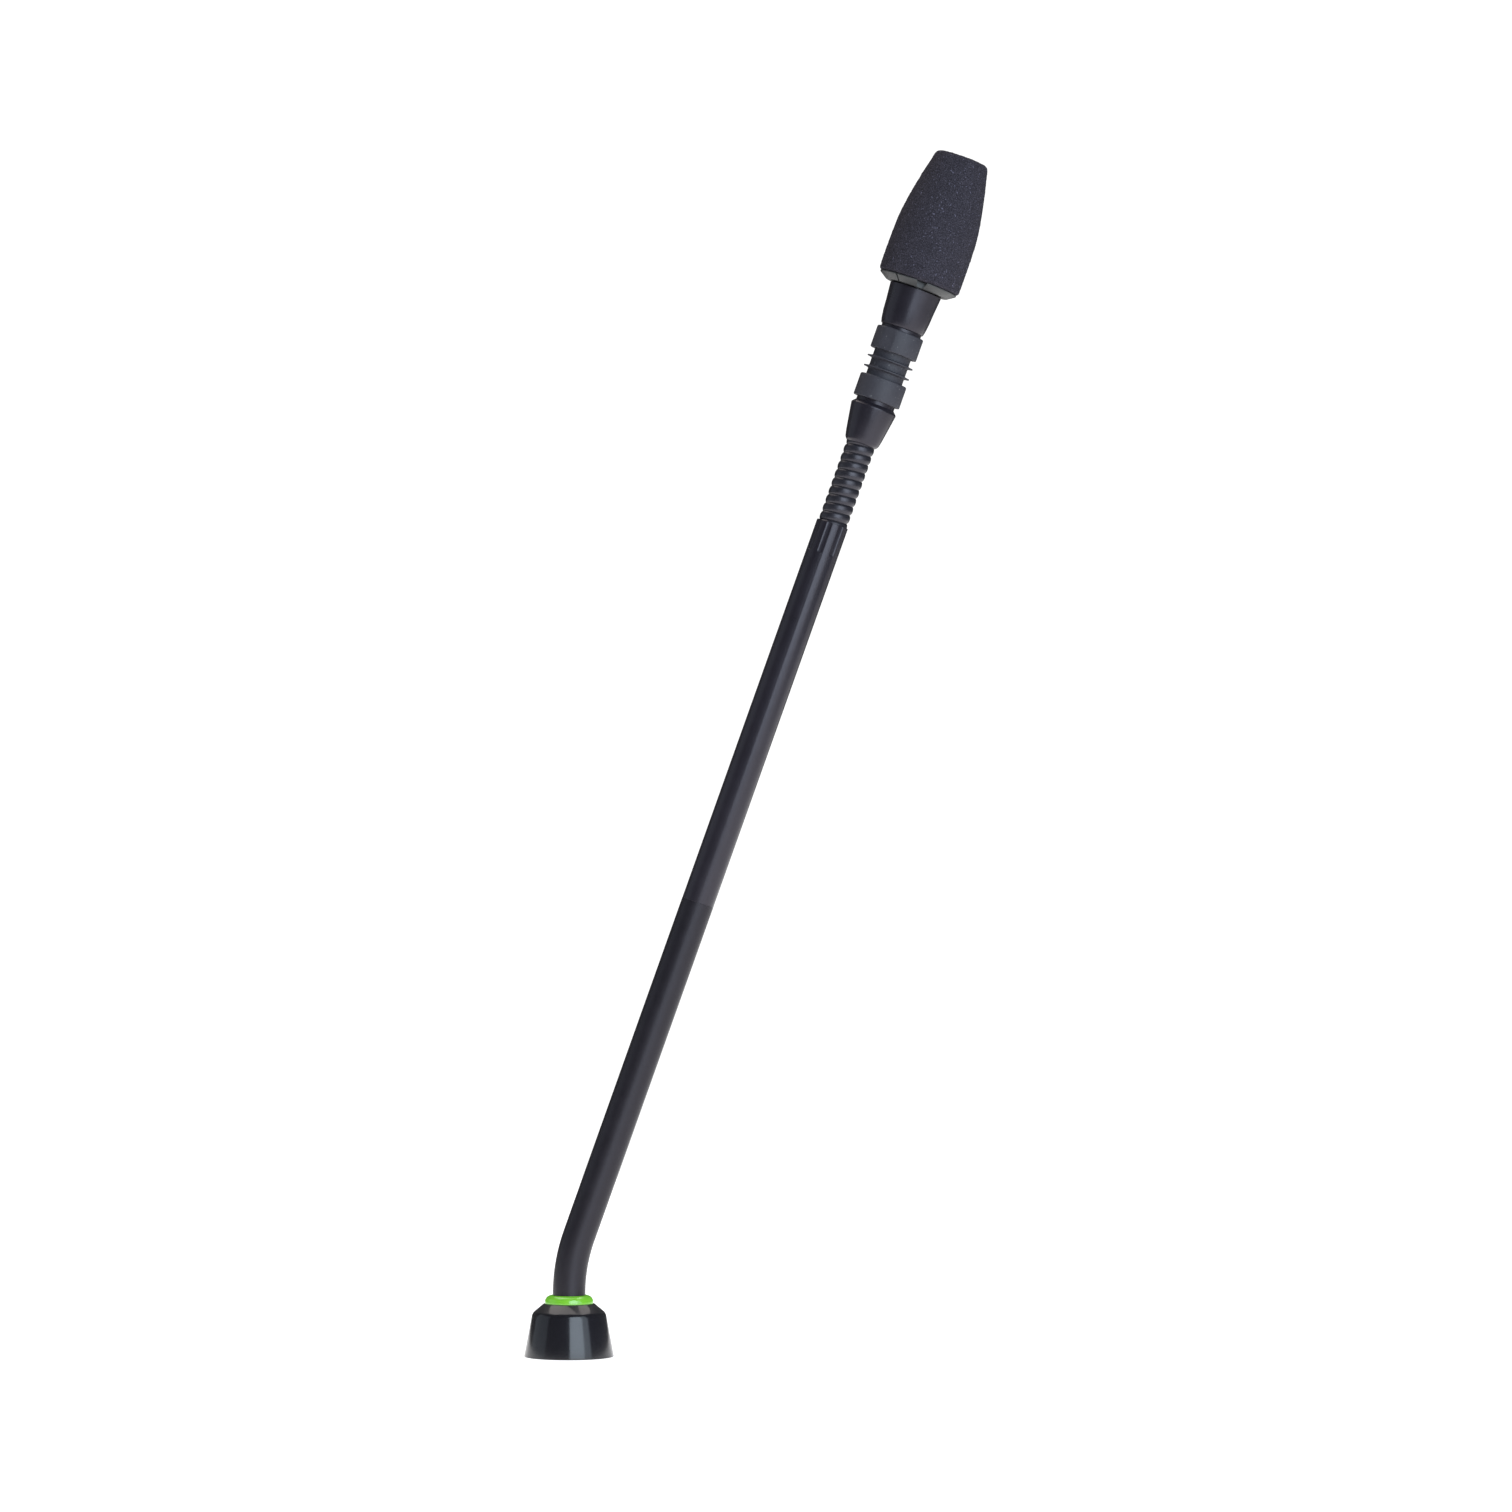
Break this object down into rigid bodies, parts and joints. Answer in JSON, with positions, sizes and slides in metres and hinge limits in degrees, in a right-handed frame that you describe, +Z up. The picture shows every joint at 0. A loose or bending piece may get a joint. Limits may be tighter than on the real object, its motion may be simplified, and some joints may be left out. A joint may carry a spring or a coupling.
{
  "type": "gooseneck podium microphone",
  "caption": "Gooseneck podium microphone: cone base with a lit ring, flexible lower neck, rigid stem, short ribbed upper neck, rubber isolator and foam windscreen.",
  "frame": {"origin": "centre of the base's flat foot, on the surface it is fastened to", "axes": "+Z up along the base's own axis, +X the way the neck leans at rest, +Y from the side shown to the back"},
  "size_m": [0.1392, 0.027, 0.362],
  "materials": {
    "base_gloss": "high gloss black paint",
    "satin_black": "satin black paint",
    "neck_sleeve": "matte black bonded sleeve on a wound steel core",
    "neck_ribs": "black oxide wound steel",
    "isolator_rubber": "matte dark grey elastomer",
    "clip_grey": "mid grey moulded plastic",
    "foam": "open-cell charcoal foam",
    "light_ring": "translucent diffuser, lit lime green",
    "steel": "turned steel",
    "brass": "turned brass",
    "aluminium": "drawn aluminium",
    "circuit_board": "solder-masked board",
    "led": "moulded package",
    "chip": "moulded package"
  },
  "bodies": {
    "base": {"base_housing": "base_gloss", "base_plate": "satin_black", "plate_screw_1": "steel", "plate_screw_2": "steel", "plate_screw_3": "steel", "mounting_insert_1": "brass", "mounting_insert_2": "brass", "output_socket": "steel", "socket_pin_1": "brass", "socket_pin_2": "brass", "socket_pin_3": "brass", "preamp_board": "circuit_board", "preamp_chip": "chip", "coupling_capacitor_1": "aluminium", "coupling_capacitor_2": "aluminium", "led_board": "circuit_board", "led_1": "led", "led_2": "led", "led_3": "led", "led_4": "led", "light_ring": "light_ring", "neck_socket": "brass", "guide_screw_1": "steel", "guide_screw_2": "steel"},
    "neck_foot": {"neck_plug": "steel", "neck_link_1": "neck_sleeve"},
    "neck_2": {"neck_link_2": "neck_sleeve"},
    "neck_3": {"neck_link_3": "neck_sleeve"},
    "neck_4": {"neck_link_4": "neck_sleeve"},
    "neck_5": {"neck_link_5": "neck_sleeve"},
    "neck_6": {"neck_link_6": "neck_sleeve"},
    "neck_7": {"neck_link_7": "neck_sleeve"},
    "neck_8": {"neck_link_8": "neck_sleeve"},
    "neck_9": {"neck_link_9": "neck_sleeve"},
    "neck_top": {"neck_link_10": "neck_sleeve", "tube_plug": "steel"},
    "stem": {"stem_tube": "satin_black", "mic_cable": "neck_sleeve"},
    "upper_foot": {"upper_plug": "steel"},
    "upper_1": {"rib_link_1": "neck_ribs"},
    "upper_2": {"rib_link_2": "neck_ribs"},
    "upper_3": {"rib_link_3": "neck_ribs"},
    "upper_top": {"ferrule_plug": "steel"},
    "head_base": {"head_ferrule": "satin_black", "isolator_lower_collar": "isolator_rubber"},
    "isolator": {"isolator_waist": "isolator_rubber"},
    "cartridge": {"isolator_upper_collar": "isolator_rubber", "cartridge_housing": "satin_black", "cartridge_barrel": "satin_black", "capsule_grille": "steel", "capsule_can": "aluminium", "capsule_backplate": "brass", "capsule_diaphragm": "steel", "capsule_board": "circuit_board"},
    "windscreen": {"windscreen_clip": "clip_grey", "windscreen_foam": "foam"}
  },
  "joints": [
    {"name": "lower_aim", "type": "hinge", "parent": "base", "child": "neck_foot", "pos_m": [0, 0, 0.0188], "axis": [0, 0, 1], "range_deg": [-90, 90], "deforming": ["mic_cable"]},
    {"name": "lower_bend_1", "type": "hinge", "parent": "neck_foot", "child": "neck_2", "pos_m": [0.00045, 0, 0.02566], "axis": [0, 1, 0], "range_deg": [-11.11, 6.67]},
    {"name": "lower_bend_2", "type": "hinge", "parent": "neck_2", "child": "neck_3", "pos_m": [0.00397, 0, 0.03894], "axis": [0, 1, 0], "range_deg": [-11.11, 6.67]},
    {"name": "lower_bend_3", "type": "hinge", "parent": "neck_3", "child": "neck_4", "pos_m": [0.00859, 0, 0.05191], "axis": [0, 1, 0], "range_deg": [-11.11, 6.67]},
    {"name": "lower_bend_4", "type": "hinge", "parent": "neck_4", "child": "neck_5", "pos_m": [0.01321, 0, 0.06488], "axis": [0, 1, 0], "range_deg": [-11.11, 6.67]},
    {"name": "lower_bend_5", "type": "hinge", "parent": "neck_5", "child": "neck_6", "pos_m": [0.01783, 0, 0.07785], "axis": [0, 1, 0], "range_deg": [-11.11, 6.67]},
    {"name": "lower_bend_6", "type": "hinge", "parent": "neck_6", "child": "neck_7", "pos_m": [0.02245, 0, 0.09082], "axis": [0, 1, 0], "range_deg": [-11.11, 6.67]},
    {"name": "lower_bend_7", "type": "hinge", "parent": "neck_7", "child": "neck_8", "pos_m": [0.02706, 0, 0.10378], "axis": [0, 1, 0], "range_deg": [-11.11, 6.67]},
    {"name": "lower_bend_8", "type": "hinge", "parent": "neck_8", "child": "neck_9", "pos_m": [0.03168, 0, 0.11675], "axis": [0, 1, 0], "range_deg": [-11.11, 6.67]},
    {"name": "lower_bend_9", "type": "hinge", "parent": "neck_9", "child": "neck_top", "pos_m": [0.0363, 0, 0.12972], "axis": [0, 1, 0], "range_deg": [-11.11, 6.67]},
    {"name": "stem_turn", "type": "hinge", "parent": "neck_top", "child": "stem", "pos_m": [0.03861, 0, 0.13621], "axis": [0.3355, 0, 0.9421], "range_deg": [-90, 90]},
    {"name": "upper_aim", "type": "hinge", "parent": "stem", "child": "upper_foot", "pos_m": [0.07906, 0, 0.24982], "axis": [0.3355, 0, 0.9421], "range_deg": [-90, 90]},
    {"name": "upper_bend_1", "type": "hinge", "parent": "upper_foot", "child": "upper_1", "pos_m": [0.0801, 0, 0.25274], "axis": [0, 1, 0], "range_deg": [-15, 15]},
    {"name": "upper_bend_2", "type": "hinge", "parent": "upper_1", "child": "upper_2", "pos_m": [0.08218, 0, 0.25858], "axis": [0, 1, 0], "range_deg": [-15, 15]},
    {"name": "upper_bend_3", "type": "hinge", "parent": "upper_2", "child": "upper_3", "pos_m": [0.08426, 0, 0.26442], "axis": [0, 1, 0], "range_deg": [-15, 15]},
    {"name": "upper_bend_4", "type": "hinge", "parent": "upper_3", "child": "upper_top", "pos_m": [0.08634, 0, 0.27026], "axis": [0, 1, 0], "range_deg": [-15, 15]},
    {"name": "head_turn", "type": "hinge", "parent": "upper_top", "child": "head_base", "pos_m": [0.08738, 0, 0.27318], "axis": [0.3355, 0, 0.9421], "range_deg": [-90, 90]},
    {"name": "isolator_tilt_side", "type": "hinge", "parent": "head_base", "child": "isolator", "pos_m": [0.0958, 0, 0.29683], "axis": [0.9421, 0, -0.3355], "range_deg": [-4, 4], "stiffness_Nm_per_rad": 0.35},
    {"name": "isolator_tilt_front", "type": "hinge", "parent": "isolator", "child": "cartridge", "pos_m": [0.0958, 0, 0.29683], "axis": [0, 1, 0], "range_deg": [-4, 4], "stiffness_Nm_per_rad": 0.35},
    {"name": "windscreen_slide", "type": "slide", "parent": "cartridge", "child": "windscreen", "axis": [0.3355, 0, 0.9421], "range_m": [0, 0.035]}
  ],
  "couplings": [
    {"joint": "lower_bend_2", "follows": "lower_bend_1", "ratio": 1},
    {"joint": "lower_bend_3", "follows": "lower_bend_1", "ratio": 1},
    {"joint": "lower_bend_4", "follows": "lower_bend_1", "ratio": 1},
    {"joint": "lower_bend_5", "follows": "lower_bend_1", "ratio": 1},
    {"joint": "lower_bend_6", "follows": "lower_bend_1", "ratio": 1},
    {"joint": "lower_bend_7", "follows": "lower_bend_1", "ratio": 1},
    {"joint": "lower_bend_8", "follows": "lower_bend_1", "ratio": 1},
    {"joint": "lower_bend_9", "follows": "lower_bend_1", "ratio": 1},
    {"joint": "stem_turn", "follows": "lower_aim", "ratio": -1},
    {"joint": "head_turn", "follows": "upper_aim", "ratio": -1}
  ]
}
